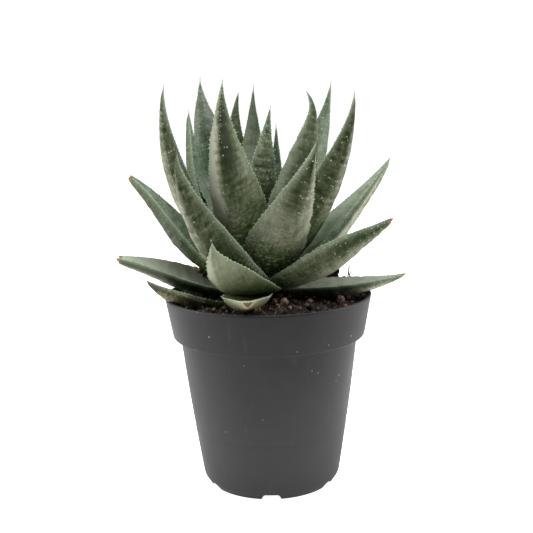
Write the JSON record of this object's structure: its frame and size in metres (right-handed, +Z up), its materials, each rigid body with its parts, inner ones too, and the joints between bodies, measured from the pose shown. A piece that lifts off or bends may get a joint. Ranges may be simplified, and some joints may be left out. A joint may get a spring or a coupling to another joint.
{
  "type": "potted savanna haworthia",
  "caption": "Potted succulent rosette with stiff, tapering, toothed and tubercled leaves, in a plain tapered nursery pot with a collar under its rim.",
  "frame": {"origin": "centre of the pot's base, on the surface that it stands on", "axes": "+Z up, -Y towards the front, +X to the right seen from the front"},
  "size_m": [0.1651, 0.1311, 0.2357],
  "materials": {
    "pot_plastic": "matte, moulded, dark grey",
    "peat": "crumbly dark peat mix",
    "stem_green": "dull brownish green",
    "leaf_green": "dull waxy grey-green with pale tubercles and teeth"
  },
  "bodies": {
    "root": {"pot": "pot_plastic", "soil": "peat", "stem": "stem_green", "leaf_left_lowest": "leaf_green", "leaf_front_lowest": "leaf_green", "leaf_back_lowest": "leaf_green", "leaf_right_lowest": "leaf_green", "leaf_left_low": "leaf_green", "leaf_back_left_low": "leaf_green", "leaf_back_right_low": "leaf_green", "leaf_front_left_low": "leaf_green", "leaf_right_low": "leaf_green", "leaf_left_middle": "leaf_green", "leaf_right_middle": "leaf_green", "leaf_back_left_middle": "leaf_green", "leaf_back_right_middle": "leaf_green", "leaf_back_middle": "leaf_green", "leaf_front_left_middle": "leaf_green", "leaf_front_right_middle": "leaf_green", "leaf_left_tall": "leaf_green", "leaf_right_tall": "leaf_green", "leaf_front_tall": "leaf_green", "leaf_left_slim": "leaf_green", "leaf_front_right_tall": "leaf_green", "leaf_back_left_tall": "leaf_green", "leaf_back_right_tall": "leaf_green", "leaf_back_slim_left": "leaf_green", "leaf_back_slim": "leaf_green", "leaf_inner_slim": "leaf_green", "leaf_inner_front": "leaf_green", "leaf_inner_small": "leaf_green", "leaf_inner_bud": "leaf_green"}
  },
  "joints": []
}
